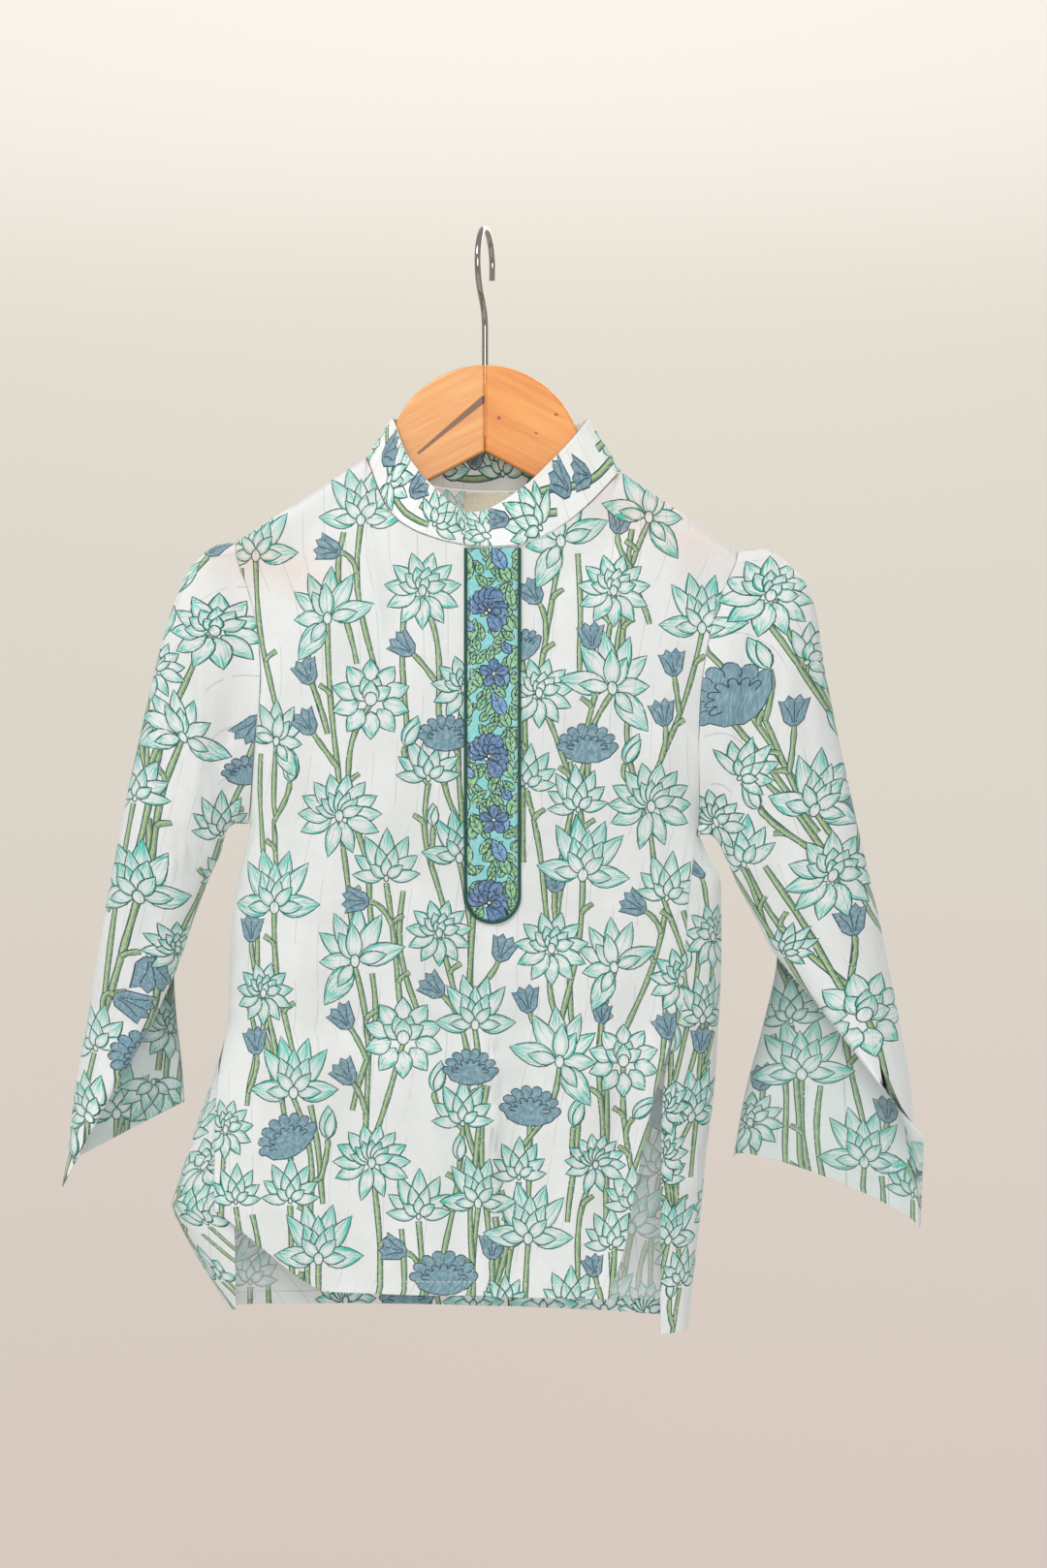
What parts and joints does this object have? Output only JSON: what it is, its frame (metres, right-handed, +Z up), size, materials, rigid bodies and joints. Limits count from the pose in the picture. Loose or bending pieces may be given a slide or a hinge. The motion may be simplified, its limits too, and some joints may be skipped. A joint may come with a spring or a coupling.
{
  "type": "child's long-sleeved kurta on a wooden hanger",
  "caption": "Loose cotton kurta with a band collar, printed placket, vented sides and wide slit cuffs, hanging on a flat wooden hanger with a wire hook.",
  "frame": {"origin": "inner top of the hook, where it sits on a rail", "axes": "+Z up, -Y the kurta's front, +X to the right of someone looking at the front"},
  "size_m": [0.5537, 0.1035, 0.7164],
  "materials": {
    "cotton_print": "thin off-white cotton block-printed with green and blue lotuses",
    "placket_print": "cotton printed with blue flowers on green",
    "piping_green": "dark green cord",
    "label_cream": "bare woven tape",
    "wood_light": "clear satin lacquer",
    "wood_deep": "clear satin lacquer",
    "steel": "bright plated wire"
  },
  "bodies": {
    "root": {"front_panel": "cotton_print", "back_panel": "cotton_print", "sleeve_left": "cotton_print", "sleeve_right": "cotton_print", "collar_band": "cotton_print", "placket": "placket_print", "placket_piping": "piping_green", "neck_label": "label_cream", "hanger_arm_left": "wood_light", "hanger_arm_right": "wood_deep", "hanger_hook": "steel"}
  },
  "joints": []
}
